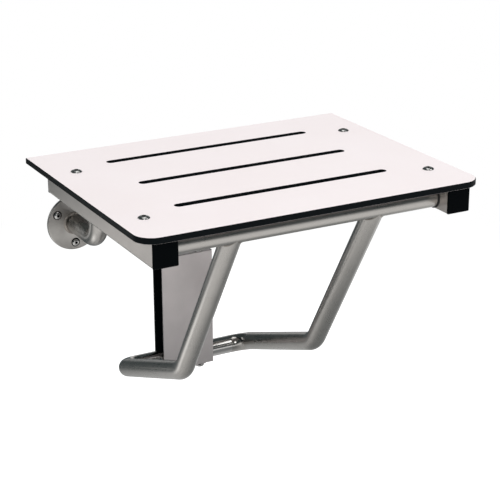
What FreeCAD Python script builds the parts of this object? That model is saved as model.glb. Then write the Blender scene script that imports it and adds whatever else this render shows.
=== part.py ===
"""Fold-down wall seat: a slotted panel on two square rails that hinges up flat against the wall.

Frame: +X to the right as seen from the room, +Y towards the wall, +Z up.
The wall face is the plane Y = 0, so the seat stands at negative Y.
The origin is the middle of the guide bracket's screw pattern on the wall face.
"""
import FreeCAD, Part
import math
import os
import Sketcher
from FreeCAD import Placement, Rotation, Vector

doc = FreeCAD.newDocument("wall_seat")
sheet = doc.addObject("Spreadsheet::Sheet", "Sizes")

SIZES = (
    # the panel
    ("seat_width", 460.0),
    ("seat_depth", 360.0),
    ("seat_thick", 8.0),
    ("seat_corner", 24.0),
    ("seat_edge", 0.8),
    ("seat_back", 36.7),
    ("seat_top", 261.0),
    ("slot_length", 293.0),
    ("slot_width", 12.0),
    ("slot_inset", 68.7),
    ("slot_pitch", 100.0),
    # the two square rails under it and their end caps
    ("rail_side", 31.75),
    ("rail_wall", 1.5),
    ("rail_round", 2.5),
    ("rail_side_inset", 31.7),
    ("rail_rear_inset", 35.8),
    ("rail_front_inset", 8.0),
    ("cap_head", 2.5),
    ("cap_round", 1.5),
    ("cap_plug_front", 14.0),
    ("cap_plug_rear", 3.0),
    ("cap_plug_wall", 2.0),
    ("cap_fit", 0.1),
    # the screws that hold the panel on the rails
    ("panel_screw_aside", 2.8),
    ("panel_screw_rear", 51.9),
    ("panel_screw_front", 61.4),
    ("panel_screw_radius", 2.5),
    ("panel_sink_radius", 7.4),
    ("panel_sink_depth", 2.8),
    ("panel_head_radius", 6.3),
    ("panel_head_rim", 0.9),
    ("panel_head_height", 2.5),
    ("panel_crown_radius", 3.6),
    ("panel_socket_radius", 2.0),
    ("panel_socket_depth", 1.5),
    ("screw_fit", 0.15),
    ("insert_radius", 4.5),
    ("insert_flange", 7.0),
    ("insert_length", 13.0),
    # all round tube is the same stock
    ("tube_radius", 12.7),
    ("tube_wall", 1.5),
    ("pivot_clear", 0.05),
    ("pivot_drop", 1.4),
    ("hinge_setback", 17.5),
    ("cross_setback", 30.2),
    ("tube_end_gap", 2.0),
    ("plug_head", 1.6),
    ("plug_lip", 0.5),
    ("plug_depth", 10.0),
    ("plug_fit", 0.1),
    ("washer_radius", 14.2),
    ("washer_thick", 1.0),
    ("washer_clear", 0.3),
    # the bent support frame
    ("leg_centre", 97.5),
    ("leg_saddle", 0.1),
    ("knee_out", 217.8),
    ("knee_height", 4.7),
    ("knee_bend", 38.0),
    ("guide_bend", 26.0),
    ("open_gap", 0.4),
    ("weld_size", 2.4),
    ("leg_weld_up", 3.2),
    ("leg_weld_out", 3.0),
    ("leg_weld_start", 3.0),
    # the wall tube in its guide
    ("guide_play_rear", 1.1),
    ("guide_play_front", 0.4),
    ("guide_rest_gap", 0.25),
    ("guide_stop_inset", 18.25),
    ("bracket_width", 78.0),
    ("bracket_length", 172.5),
    ("cover_gauge", 1.6),
    ("cover_round", 1.2),
    ("plate_gauge", 1.5),
    ("plate_inset", 0.3),
    ("liner_back", 1.6),
    ("liner_cheek", 2.4),
    ("slot_clear", 0.6),
    ("cover_screw_inset", 19.0),
    ("cover_screw_radius", 2.0),
    ("cover_screw_from_front", 6.6),
    ("cover_washer_radius", 5.2),
    ("cover_washer_thick", 1.0),
    ("cover_head_radius", 4.2),
    ("cover_head_height", 4.2),
    ("cover_screw_reach", 7.0),
    ("tab_width", 16.0),
    ("tab_short", 2.1),
    ("bracket_screw_inset_x", 17.0),
    ("bracket_screw_inset_z", 24.25),
    ("spring_width", 10.0),
    ("spring_length", 90.0),
    ("spring_gauge", 0.8),
    ("spring_bow", 1.4),
    ("spring_window", 0.5),
    # the wall flanges and arms
    ("flange_radius", 38.1),
    ("flange_thick", 4.5),
    ("flange_round", 1.2),
    ("arm_inset", 44.1),
    ("arm_rise", 85.425),
    ("flange_screw_circle", 28.0),
    ("arm_bend", 27.0),
    # the wall screws, the same at flanges and bracket
    ("wall_screw_radius", 2.75),
    ("wall_neck_radius", 2.9),
    ("wall_screw_hole", 3.1),
    ("wall_screw_reach", 10.0),
    ("wall_head_radius", 5.0),
    ("wall_head_height", 2.6),
    ("wall_head_rim", 1.0),
    ("wall_crown_radius", 2.8),
    ("wall_recess_radius", 2.1),
    ("wall_recess_floor", 0.9),
    ("flat_head_radius", 5.2),
    # how far a cutting tool runs past the face that it cuts
    ("cut_past", 1.0),
)
for row, (alias, number) in enumerate(SIZES, start=1):
    sheet.set(f"A{row}", alias)
    sheet.set(f"B{row}", str(number))
    sheet.setAlias(f"B{row}", alias)
doc.recompute()


def size(alias):
    """The number in the sheet under this name."""
    return float(sheet.get(alias))


def linked(expression):
    """An expression whose words in braces are names in the sheet."""
    return expression.replace("{", "Sizes.").replace("}", "")


# Each finished sub-part, under the name of its file.
parts = {}

# The places that several pieces share: distances out from the wall, across from the middle, and up.
RAIL_CENTRE = "({seat_width} / 2 - {rail_side_inset})"
RAIL_REAR = "({seat_back} + {rail_rear_inset})"
RAIL_FRONT = "({seat_back} + {seat_depth} - {rail_front_inset})"
RAIL_BOTTOM = "({seat_top} - {seat_thick} - {rail_side})"
HINGE_OUT = f"({RAIL_REAR} + {{hinge_setback}})"
CROSS_OUT = f"({RAIL_FRONT} - {{cross_setback}})"
PIVOT_HEIGHT = "({seat_top} - {seat_thick} - {rail_side} / 2 - {pivot_drop})"
TUBE_END = f"({RAIL_CENTRE} + {{rail_side}} / 2 - {{rail_wall}} - {{tube_end_gap}})"
PANEL_SCREW_X = f"({RAIL_CENTRE} - {{panel_screw_aside}})"
PANEL_SCREW_REAR = f"({RAIL_REAR} + {{panel_screw_rear}})"
PANEL_SCREW_FRONT = f"({RAIL_FRONT} - {{panel_screw_front}})"
FLANGE_CENTRE = f"({RAIL_CENTRE} - {{arm_inset}})"
FLANGE_HEIGHT = f"({PIVOT_HEIGHT} - {{arm_rise}})"
GUIDE_OUT = "({plate_gauge} + {liner_back} + {guide_play_rear} + {tube_radius})"
GUIDE_REST = "({cover_gauge} + {guide_rest_gap} + {tube_radius} - {bracket_length} / 2)"
GUIDE_STOP = "({bracket_length} / 2 - {guide_stop_inset})"
INNER_FRONT = f"({GUIDE_OUT} + {{tube_radius}} + {{guide_play_front}})"
BRACKET_DEPTH = f"({INNER_FRONT} + {{cover_gauge}})"
INNER_HALF = "({bracket_length} / 2 - {cover_gauge})"
COVER_BACK = "({plate_gauge} + {plate_inset})"
COVER_HOLE_Y = f"-({BRACKET_DEPTH} - {{cover_screw_from_front}})"
COVER_SCREW_X = "({bracket_width} / 2 - {cover_screw_inset})"
BRACKET_SCREW_X = "({bracket_width} / 2 - {bracket_screw_inset_x})"
BRACKET_SCREW_Z = "({bracket_length} / 2 - {bracket_screw_inset_z})"


def number(expression):
    """The value of one of the expressions above, with the sheet's numbers put in."""
    return float(sheet.evalExpression(linked(expression)))


pivot_height = number(PIVOT_HEIGHT)
tube_radius = size("tube_radius")
bore_radius = tube_radius - size("tube_wall")


def finish(obj, label):
    """Gives a finished sub-part its own label and lists it for export."""
    obj.Label = label
    parts[label] = obj
    return obj


def place(obj, x="0", y="0", z="0", axis=None, angle=0):
    """Binds an object's place to the sheet and turns it about an axis by a fixed angle."""
    if axis is not None:
        obj.Placement = Placement(Vector(), Rotation(axis, angle))
    for letter, expression in zip("xyz", (x, y, z)):
        obj.setExpression(f"Placement.Base.{letter}", linked(expression))
    return obj


def box(name, length, width, height, x="0", y="0", z="0"):
    """A box whose lowest corner is at x, y, z."""
    obj = doc.addObject("Part::Box", name)
    for prop, expression in (("Length", length), ("Width", width), ("Height", height)):
        obj.setExpression(prop, linked(expression))
    return place(obj, x, y, z)


X_AXIS, Y_AXIS, Z_AXIS = Vector(1, 0, 0), Vector(0, 1, 0), Vector(0, 0, 1)
ALONG_X = (Y_AXIS, 90)
ALONG_Y = (X_AXIS, -90)
AWAY_FROM_WALL = (X_AXIS, 90)
UP = (None, 0)


def rod(name, radius, length, x="0", y="0", z="0", way=UP):
    """A cylinder that starts at x, y, z and runs one way."""
    obj = doc.addObject("Part::Cylinder", name)
    obj.setExpression("Radius", linked(radius))
    obj.setExpression("Height", linked(length))
    return place(obj, x, y, z, *way)


def cone(name, radius, far_radius, length, x="0", y="0", z="0", way=UP):
    """A cone that starts at x, y, z and runs one way."""
    obj = doc.addObject("Part::Cone", name)
    obj.setExpression("Radius1", linked(radius))
    obj.setExpression("Radius2", linked(far_radius))
    obj.setExpression("Height", linked(length))
    return place(obj, x, y, z, *way)


def joined(name, pieces):
    """Several solids as one object: touching ones fuse, the others stay apart."""
    obj = doc.addObject("Part::MultiFuse", name)
    obj.Shapes = pieces
    return obj


def cut(name, base, tools):
    """A base with one or more tools taken out of it."""
    tool = tools[0] if len(tools) == 1 else joined(f"{name}_tools", tools)
    obj = doc.addObject("Part::Cut", name)
    obj.Base = base
    obj.Tool = tool
    return obj


def new_body(label):
    """A PartDesign body that is one sub-part."""
    return finish(doc.addObject("PartDesign::Body", label), label)


def new_sketch(body, name, plane, offset=None):
    """A sketch on one of the body's own planes, pushed along its normal by an expression."""
    sketch = body.newObject("Sketcher::SketchObject", name)
    origin_plane = next(f for f in body.Origin.OriginFeatures if f.Role == plane)
    sketch.AttachmentSupport = [(origin_plane, "")]
    sketch.MapMode = "FlatFace"
    if offset is not None:
        sketch.setExpression("AttachmentOffset.Base.z", linked(offset))
    return sketch


def draw_rectangle(sketch, left, right, bottom, top):
    """A rectangle between four expressions, measured from the sketch's origin."""
    first = sketch.GeometryCount
    x1, x2, y1, y2 = (number(side) for side in (left, right, bottom, top))
    corners = [Vector(x1, y1, 0), Vector(x2, y1, 0), Vector(x2, y2, 0), Vector(x1, y2, 0)]
    for i in range(4):
        sketch.addGeometry(Part.LineSegment(corners[i], corners[(i + 1) % 4]), False)
    for i in range(4):
        sketch.addConstraint(Sketcher.Constraint("Coincident", first + i, 2, first + (i + 1) % 4, 1))
        way = "Horizontal" if i % 2 == 0 else "Vertical"
        sketch.addConstraint(Sketcher.Constraint(way, first + i))
    for kind, line, expression in (
        ("DistanceX", 0, left),
        ("DistanceY", 0, bottom),
        ("DistanceX", 2, right),
        ("DistanceY", 2, top),
    ):
        start = corners[line]
        length = start.x if kind == "DistanceX" else start.y
        index = sketch.addConstraint(Sketcher.Constraint(kind, -1, 1, first + line, 1, length))
        sketch.setExpression(f"Constraints[{index}]", linked(expression))


def draw_circle(sketch, radius, x="0", y="0"):
    """A circle with its centre and radius bound to expressions."""
    centre = Vector(number(x), number(y), 0)
    circle = sketch.addGeometry(Part.Circle(centre, Z_AXIS, number(radius)), False)
    for kind, length, expression in (("DistanceX", centre.x, x), ("DistanceY", centre.y, y)):
        index = sketch.addConstraint(Sketcher.Constraint(kind, -1, 1, circle, 3, length))
        sketch.setExpression(f"Constraints[{index}]", linked(expression))
    index = sketch.addConstraint(Sketcher.Constraint("Radius", circle, number(radius)))
    sketch.setExpression(f"Constraints[{index}]", linked(radius))


def draw_slot(sketch, length, width, y):
    """A round-ended slot across X, centred on X = 0 at height y of the sketch."""
    radius, level = number(width) / 2, number(y)
    half = number(length) / 2 - radius
    first = sketch.GeometryCount
    low, high = level - radius, level + radius
    sketch.addGeometry(Part.LineSegment(Vector(-half, low, 0), Vector(half, low, 0)), False)
    right = Part.Circle(Vector(half, level, 0), Z_AXIS, radius)
    sketch.addGeometry(Part.ArcOfCircle(right, -math.pi / 2, math.pi / 2), False)
    sketch.addGeometry(Part.LineSegment(Vector(half, high, 0), Vector(-half, high, 0)), False)
    left = Part.Circle(Vector(-half, level, 0), Z_AXIS, radius)
    sketch.addGeometry(Part.ArcOfCircle(left, math.pi / 2, 3 * math.pi / 2), False)
    bottom, arc_right, top, arc_left = range(first, first + 4)
    for one, end, other, start in (
        (bottom, 2, arc_right, 1),
        (arc_right, 2, top, 1),
        (top, 2, arc_left, 1),
        (arc_left, 2, bottom, 1),
    ):
        sketch.addConstraint(Sketcher.Constraint("Tangent", one, end, other, start))
    sketch.addConstraint(Sketcher.Constraint("Horizontal", bottom))
    sketch.addConstraint(Sketcher.Constraint("Symmetric", arc_left, 3, arc_right, 3, -2))
    for kind, one, end, other, start, distance, expression in (
        ("DistanceY", -1, 1, arc_right, 3, level, y),
        ("DistanceX", arc_left, 3, arc_right, 3, 2 * half, f"{length} - {width}"),
    ):
        index = sketch.addConstraint(Sketcher.Constraint(kind, one, end, other, start, distance))
        sketch.setExpression(f"Constraints[{index}]", linked(expression))
    index = sketch.addConstraint(Sketcher.Constraint("Radius", arc_right, radius))
    sketch.setExpression(f"Constraints[{index}]", linked(f"{width} / 2"))


def pad(body, sketch, length, reverse=False, name="Pad"):
    """Raises a sketch into a solid."""
    feature = body.newObject("PartDesign::Pad", name)
    feature.Profile = sketch
    feature.setExpression("Length", linked(length))
    feature.Reversed = reverse
    doc.recompute()
    return feature


def pocket(body, sketch, name="Pocket", length=None, reverse=False):
    """Sinks a sketch through the whole body, or to a depth, and checks that it cut something."""
    before = body.Shape.Volume
    feature = body.newObject("PartDesign::Pocket", name)
    feature.Profile = sketch
    feature.Reversed = reverse
    if length is None:
        feature.Type = "ThroughAll"
        feature.Midplane = True
    else:
        feature.setExpression("Length", linked(length))
    doc.recompute()
    if body.Shape.Volume > before - SAME:
        raise RuntimeError(f"{body.Label}: {name} cut nothing")
    return feature


# Two places, in millimetres, or two directions that differ by less than this count as one.
SAME = 0.01


def edges_where(feature, test):
    """The names of a feature's edges that pass a test."""
    return [f"Edge{i}" for i, edge in enumerate(feature.Shape.Edges, start=1) if test(edge)]


def middle(edge):
    """The point halfway along an edge."""
    return edge.valueAt((edge.FirstParameter + edge.LastParameter) / 2)


def runs_along(edge, axis):
    """True for a straight edge that runs along an axis."""
    if edge.Curve.TypeId != "Part::GeomLine":
        return False
    return edge.tangentAt(edge.FirstParameter).cross(axis).Length < SAME


def round_edges(body, feature, names, radius, name="Fillet"):
    """Rounds the named edges."""
    fillet = body.newObject("PartDesign::Fillet", name)
    fillet.Base = (feature, names)
    fillet.setExpression("Radius", linked(radius))
    doc.recompute()
    return fillet


def bevel_edges(body, feature, names, width, name="Chamfer"):
    """Bevels the named edges."""
    chamfer = body.newObject("PartDesign::Chamfer", name)
    chamfer.Base = (feature, names)
    chamfer.setExpression("Size", linked(width))
    doc.recompute()
    return chamfer


def shape_part(label, shape):
    """A sub-part whose shape comes from Part's own functions."""
    obj = doc.addObject("Part::Feature", label)
    obj.Shape = shape
    return finish(obj, label)


def mirrored(shape):
    """The same piece on the other side of the seat."""
    return shape.mirror(Vector(), X_AXIS)


def bent_path(points, radii):
    """Straight runs joined by arcs that are tangent to both."""
    edges = []
    start = points[0]
    for before, corner, after, radius in zip(points, points[1:], points[2:], radii):
        into = (before - corner).normalize()
        out = (after - corner).normalize()
        half_angle = into.getAngle(out) / 2
        reach = radius / math.tan(half_angle)
        arc_start = corner + into * reach
        arc_end = corner + out * reach
        bisector = (into + out).normalize()
        arc_middle = corner + bisector * (radius / math.sin(half_angle) - radius)
        edges.append(Part.LineSegment(start, arc_start).toShape())
        edges.append(Part.Arc(arc_start, arc_middle, arc_end).toShape())
        start = arc_end
    if (points[-1] - start).Length > SAME:
        edges.append(Part.LineSegment(start, points[-1]).toShape())
    return Part.Wire(edges)


def swept(path, radius):
    """A round bar of one radius along a path."""
    start = path.Edges[0].valueAt(path.Edges[0].FirstParameter)
    direction = path.Edges[0].tangentAt(path.Edges[0].FirstParameter)
    profile = Part.Face(Part.Wire(Part.makeCircle(radius, start, direction)))
    return path.makePipe(profile)


def bent_tube(points, radii):
    """A tube of the stock size, bent round its corners."""
    path = bent_path(points, radii)
    return swept(path, tube_radius).cut(swept(path, bore_radius))


def build_panel():
    """The panel: rounded front corners, broken edges, drainage slots and screw holes."""
    body = new_body("seat_panel")
    outline = new_sketch(body, "PanelOutline", "XY_Plane", "{seat_top} - {seat_thick}")
    front = "-({seat_back} + {seat_depth})"
    draw_rectangle(outline, "-{seat_width} / 2", "{seat_width} / 2", front, "-{seat_back}")
    plate = pad(body, outline, "{seat_thick}")
    half_way = -(size("seat_back") + size("seat_depth") / 2)
    corners = edges_where(plate, lambda e: runs_along(e, Z_AXIS) and middle(e).y < half_way)
    plate = round_edges(body, plate, corners, "{seat_corner}", "FrontCorners")
    rims = edges_where(plate, lambda e: not runs_along(e, Z_AXIS))
    plate = bevel_edges(body, plate, rims, "{seat_edge}", "BrokenEdges")
    slots = new_sketch(body, "DrainSlots", "XY_Plane", "{seat_top}")
    for i in range(3):
        slot_y = f"-({{seat_back}} + {{slot_inset}} + {i} * {{slot_pitch}})"
        draw_slot(slots, "{slot_length}", "{slot_width}", slot_y)
    pocket(body, slots, "Slots")
    holes = new_sketch(body, "ScrewHoles", "XY_Plane", "{seat_top}")
    for x in (PANEL_SCREW_X, f"-{PANEL_SCREW_X}"):
        for y in (f"-{PANEL_SCREW_REAR}", f"-{PANEL_SCREW_FRONT}"):
            draw_circle(holes, "{panel_screw_radius} + {screw_fit}", x, y)
    pocket(body, holes, "ScrewBores")
    sinks = new_sketch(body, "ScrewSinks", "XY_Plane", "{seat_top}")
    for x in (PANEL_SCREW_X, f"-{PANEL_SCREW_X}"):
        for y in (f"-{PANEL_SCREW_REAR}", f"-{PANEL_SCREW_FRONT}"):
            draw_circle(sinks, "{panel_sink_radius}", x, y)
    pocket(body, sinks, "HeadSeats", "{panel_sink_depth}")


def build_rail(label, side):
    """One rail: square tube with holes for both pivots in its inner wall and for the panel screws."""
    body = new_body(label)
    centre = f"({side} * {RAIL_CENTRE})"
    profile = new_sketch(body, f"Profile_{label}", "XZ_Plane", RAIL_REAR)
    low, high = RAIL_BOTTOM, f"{RAIL_BOTTOM} + {{rail_side}}"
    left, right = f"{centre} - {{rail_side}} / 2", f"{centre} + {{rail_side}} / 2"
    draw_rectangle(profile, left, right, low, high)
    bar = pad(body, profile, f"{RAIL_FRONT} - {RAIL_REAR}")
    long_edges = edges_where(bar, lambda e: runs_along(e, Y_AXIS))
    round_edges(body, bar, long_edges, "{rail_round}", "OuterCorners")
    inside = new_sketch(body, f"Inside_{label}", "XZ_Plane", RAIL_REAR)
    wall = "{rail_wall}"
    draw_rectangle(inside, f"{left} + {wall}", f"{right} - {wall}", f"{low} + {wall}", f"{high} - {wall}")
    pocket(body, inside, "Inside")
    pivots = new_sketch(body, f"Pivots_{label}", "YZ_Plane", f"{centre} - {side} * {{rail_side}} / 2")
    for y in (f"-{HINGE_OUT}", f"-{CROSS_OUT}"):
        draw_circle(pivots, "{tube_radius} + {pivot_clear}", y, PIVOT_HEIGHT)
    pocket(body, pivots, "PivotHoles", "{rail_wall} + {cut_past}", reverse=(side > 0))
    screws = new_sketch(body, f"Inserts_{label}", "XY_Plane", "{seat_top} - {seat_thick}")
    for y in (f"-{PANEL_SCREW_REAR}", f"-{PANEL_SCREW_FRONT}"):
        draw_circle(screws, "{insert_radius}", f"{side} * {PANEL_SCREW_X}", y)
    pocket(body, screws, "InsertHoles", "{rail_wall} + {cut_past}")


def build_cap(label, side, front):
    """One push-in rail cap: a rounded square head and a hollow plug."""
    body = new_body(label)
    centre = f"({side} * {RAIL_CENTRE})"
    outward = 1 if front else -1
    seat = RAIL_FRONT if front else RAIL_REAR
    plug_length = "{cap_plug_front}" if front else "{cap_plug_rear}"
    half = "{rail_side} / 2"
    inner_half = "({rail_side} / 2 - {rail_wall} - {cap_fit})"
    height = f"({RAIL_BOTTOM} + {{rail_side}} / 2)"
    head = new_sketch(body, f"Head_{label}", "XZ_Plane", seat)
    draw_rectangle(head, f"{centre} - {half}", f"{centre} + {half}",
                   f"{height} - {half}", f"{height} + {half}")
    cap = pad(body, head, "{cap_head}", reverse=not front)
    face_y = -(number(seat) + outward * size("cap_head"))
    edges = edges_where(cap, lambda e: runs_along(e, Y_AXIS) or abs(middle(e).y - face_y) < SAME)
    round_edges(body, cap, edges, "{cap_round}", "HeadCorners")
    plug = new_sketch(body, f"Plug_{label}", "XZ_Plane", seat)
    draw_rectangle(plug, f"{centre} - {inner_half}", f"{centre} + {inner_half}",
                   f"{height} - {inner_half}", f"{height} + {inner_half}")
    pad(body, plug, plug_length, reverse=front, name="Plug")
    hollow = new_sketch(body, f"Hollow_{label}", "XZ_Plane", f"{seat} - {outward} * {plug_length}")
    hollow_half = f"({inner_half} - {{cap_plug_wall}})"
    draw_rectangle(hollow, f"{centre} - {hollow_half}", f"{centre} + {hollow_half}",
                   f"{height} - {hollow_half}", f"{height} + {hollow_half}")
    pocket(body, hollow, "Hollow", plug_length, reverse=front)


def build_panel_screws():
    """The four panel screws, each a domed head sunk in the panel and a shank in its insert."""
    screws = []
    inserts = []
    for side in (-1, 1):
        for name, out in (("rear", PANEL_SCREW_REAR), ("front", PANEL_SCREW_FRONT)):
            tag = f"{name}_{'left' if side < 0 else 'right'}"
            x, y = f"{side} * {PANEL_SCREW_X}", f"-{out}"
            floor = "{seat_top} - {panel_sink_depth}"
            rim = rod(f"rim_{tag}", "{panel_head_radius}", "{panel_head_rim}", x, y, floor)
            dome = cone(f"dome_{tag}", "{panel_head_radius}", "{panel_crown_radius}",
                        "{panel_head_height} - {panel_head_rim}", x, y, f"{floor} + {{panel_head_rim}}")
            length = "{seat_thick} - {panel_sink_depth} + {insert_length}"
            bottom = "{seat_top} - {seat_thick} - {insert_length}"
            shank = rod(f"shank_{tag}", "{panel_screw_radius}", length, x, y, bottom)
            socket = doc.addObject("Part::Prism", f"socket_{tag}")
            socket.Polygon = 6
            socket.setExpression("Circumradius", linked("{panel_socket_radius}"))
            socket.setExpression("Height", linked("{panel_socket_depth} + {cut_past}"))
            place(socket, x, y, f"{floor} + {{panel_head_height}} - {{panel_socket_depth}}")
            screws.append(cut(f"screw_{tag}", joined(f"blank_{tag}", [rim, dome, shank]), [socket]))
            sleeve = rod(f"sleeve_{tag}", "{insert_radius}", "{insert_length}", x, y, bottom)
            flange = rod(f"flange_{tag}", "{insert_flange}", "{rail_wall}", x, y,
                         f"{RAIL_BOTTOM} + {{rail_side}} - 2 * {{rail_wall}}")
            bore = rod(f"bore_{tag}", "{panel_screw_radius}", "{insert_length} + 2 * {cut_past}", x, y,
                       f"{bottom} - {{cut_past}}")
            inserts.append(cut(f"insert_{tag}", joined(f"insert_blank_{tag}", [sleeve, flange]), [bore]))
    finish(joined("PanelScrews", screws), "panel_screws")
    finish(joined("RailInserts", inserts), "rail_inserts")


def build_washers(label, out):
    """Two nylon washers on a pivot, between the rails and the tube that turns in them."""
    rings = []
    for side in (-1, 1):
        tag = f"{label}_{'left' if side < 0 else 'right'}"
        inner_face = f"({RAIL_CENTRE} - {{rail_side}} / 2)"
        start = f"{inner_face} - {{washer_thick}}" if side > 0 else f"-{inner_face}"
        disc = rod(f"disc_{tag}", "{washer_radius}", "{washer_thick}",
                   start, f"-{out}", PIVOT_HEIGHT, ALONG_X)
        bore = rod(f"eye_{tag}", "{tube_radius} + {washer_clear}", "{washer_thick} + 2 * {cut_past}",
                   f"{start} - {{cut_past}}", f"-{out}", PIVOT_HEIGHT, ALONG_X)
        rings.append(cut(f"ring_{tag}", disc, [bore]))
    finish(joined(f"Washers_{label}", rings), label)


def build_end_plugs(label, out):
    """Two plastic plugs that close a pivot tube inside the rails."""
    plugs = []
    for side in (-1, 1):
        tag = f"{label}_{'left' if side < 0 else 'right'}"
        head_start = TUBE_END if side > 0 else f"-{TUBE_END} - {{plug_head}}"
        stem_start = f"{TUBE_END} - {{plug_depth}}" if side > 0 else f"-{TUBE_END}"
        head = rod(f"head_{tag}", "{tube_radius} - {plug_lip}", "{plug_head}", head_start, f"-{out}",
                   PIVOT_HEIGHT, ALONG_X)
        stem = rod(f"stem_{tag}", "{tube_radius} - {tube_wall} - {plug_fit}", "{plug_depth}",
                   stem_start, f"-{out}", PIVOT_HEIGHT, ALONG_X)
        plugs.append(joined(f"plug_{tag}", [head, stem]))
    finish(joined(f"Plugs_{label}", plugs), label)


def build_cross_tube():
    """The front cross tube that turns in both rails and carries the legs."""
    outer = rod("cross_outer", "{tube_radius}", f"2 * {TUBE_END}", f"-{TUBE_END}", f"-{CROSS_OUT}",
                PIVOT_HEIGHT, ALONG_X)
    inner = rod("cross_inner", "{tube_radius} - {tube_wall}", f"2 * {TUBE_END} + 2 * {{cut_past}}",
                f"-{TUBE_END} - {{cut_past}}", f"-{CROSS_OUT}", PIVOT_HEIGHT, ALONG_X)
    finish(cut("CrossTube", outer, [inner]), "cross_tube")


def build_legs():
    """Each leg falls from the cross tube to a knee, runs back to the wall and turns inward."""
    leg_x = -size("leg_centre")
    top = Vector(leg_x, -number(CROSS_OUT), pivot_height)
    knee = Vector(leg_x, -size("knee_out"), size("knee_height"))
    corner = Vector(leg_x, -number(GUIDE_OUT), number(GUIDE_REST))
    end = corner + Vector(size("guide_bend"), 0, 0)
    tube = bent_tube([top, knee, corner, end], [size("knee_bend"), size("guide_bend")])
    tube = tube.cut(bar_through(top, X_AXIS, tube_radius + size("leg_saddle")))
    leg = max(tube.Solids, key=lambda solid: solid.Volume)
    shape_part("left_leg", leg)
    shape_part("right_leg", mirrored(leg))
    build_leg_welds(top, (knee - top).normalize())


def bar_through(point, way, radius, start=None):
    """A round bar through a point, long enough to cross any tube, or one that starts a little past it."""
    reach = 4 * tube_radius
    foot = point - way * reach if start is None else point + way * start
    return Part.makeCylinder(radius, 2 * reach, foot, way)


def build_leg_welds(top, way):
    """The bead round each leg's coped top: what lies close to both tubes and inside neither."""
    near_leg = bar_through(top, way, tube_radius + size("leg_weld_out"), size("leg_weld_start"))
    near_cross = bar_through(top, X_AXIS, tube_radius + size("leg_weld_up"))
    bead = near_leg.common(near_cross)
    bead = bead.cut(bar_through(top, X_AXIS, tube_radius)).cut(bar_through(top, way, tube_radius))
    shape_part("leg_welds", Part.Compound(bead.Solids + mirrored(bead).Solids))


def build_guide_tube():
    """The polished run of the support frame that slides up and down in the guide bracket."""
    half = "({leg_centre} - {guide_bend} - {open_gap})"
    outer = rod("guide_outer", "{tube_radius}", f"2 * {half}",
                f"-{half}", f"-{GUIDE_OUT}", GUIDE_REST, ALONG_X)
    inner = rod("guide_inner", "{tube_radius} - {tube_wall}", f"2 * {half} + 2 * {{cut_past}}",
                f"-{half} - {{cut_past}}", f"-{GUIDE_OUT}", GUIDE_REST, ALONG_X)
    finish(cut("GuideTube", outer, [inner]), "guide_tube")


def wall_screw(tag, x, z, face, flat=False):
    """One wall screw: its head on a face and its shank standing out behind the wall plane."""
    shank = rod(f"shank_{tag}", "{wall_screw_radius}", "{wall_screw_reach}", x, "0", z, ALONG_Y)
    if flat:
        head = cone(f"head_{tag}", "{wall_screw_radius}", "{flat_head_radius}", face,
                    x, "0", z, AWAY_FROM_WALL)
        return joined(f"screw_{tag}", [head, shank])
    y = f"-({face})"
    rim = rod(f"rim_{tag}", "{wall_head_radius}", "{wall_head_rim}", x, y, z, AWAY_FROM_WALL)
    crown = cone(f"crown_{tag}", "{wall_head_radius}", "{wall_crown_radius}",
                 "{wall_head_height} - {wall_head_rim}", x, f"{y} - {{wall_head_rim}}", z, AWAY_FROM_WALL)
    recess = doc.addObject("Part::Prism", f"recess_{tag}")
    recess.Polygon = 6
    recess.setExpression("Circumradius", linked("{wall_recess_radius}"))
    recess.setExpression("Height", linked("{wall_head_height}"))
    place(recess, x, f"{y} - {{wall_recess_floor}}", z, *AWAY_FROM_WALL)
    head = cut(f"head_{tag}", joined(f"head_blank_{tag}", [rim, crown]), [recess])
    neck = cone(f"neck_{tag}", "{wall_screw_radius}", "{wall_neck_radius}", face, x, "0", z, AWAY_FROM_WALL)
    return joined(f"screw_{tag}", [head, neck, shank])


SCREW_ANGLES = (30, 150, 270)


def flange_screw_place(side, angle):
    """Where one flange screw stands on the wall, across and up."""
    x = f"{side} * {FLANGE_CENTRE} + {{flange_screw_circle}} * cos({angle})"
    return x, f"{FLANGE_HEIGHT} + {{flange_screw_circle}} * sin({angle})"


def build_flange(label, side):
    """One round wall flange with its three screw holes and the bore for its arm."""
    body = new_body(label)
    disc = new_sketch(body, f"Disc_{label}", "XZ_Plane")
    draw_circle(disc, "{flange_radius}", f"{side} * {FLANGE_CENTRE}", FLANGE_HEIGHT)
    plate = pad(body, disc, "{flange_thick}")
    face_y = -size("flange_thick")
    rim = edges_where(plate, lambda e: abs(middle(e).y - face_y) < SAME)
    round_edges(body, plate, rim, "{flange_round}", "Rim")
    holes = new_sketch(body, f"Holes_{label}", "XZ_Plane")
    draw_circle(holes, "{tube_radius} + {plug_fit}", f"{side} * {FLANGE_CENTRE}", FLANGE_HEIGHT)
    for angle in SCREW_ANGLES:
        draw_circle(holes, "{wall_screw_hole}", *flange_screw_place(side, angle))
    pocket(body, holes, "Holes")


def build_flange_screws(label, side):
    """The three screws of one flange."""
    screws = []
    for angle in SCREW_ANGLES:
        x, z = flange_screw_place(side, angle)
        screws.append(wall_screw(f"{label}_{angle}", x, z, "{flange_thick}"))
    finish(joined(f"Group_{label}", screws), label)


def build_flange_weld(label, side):
    """The fillet weld between one flange and its arm."""
    x, z = f"{side} * {FLANGE_CENTRE}", FLANGE_HEIGHT
    bead = cone(f"bead_{label}", "{tube_radius} + {weld_size}", "{tube_radius} + {plug_fit}", "{weld_size}",
                x, "-{flange_thick}", z, AWAY_FROM_WALL)
    bore = rod(f"bead_bore_{label}", "{tube_radius}", "{weld_size} + 2 * {cut_past}",
               x, "-{flange_thick} + {cut_past}", z, AWAY_FROM_WALL)
    finish(cut(f"Weld_{label}", bead, [bore]), label)


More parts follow.
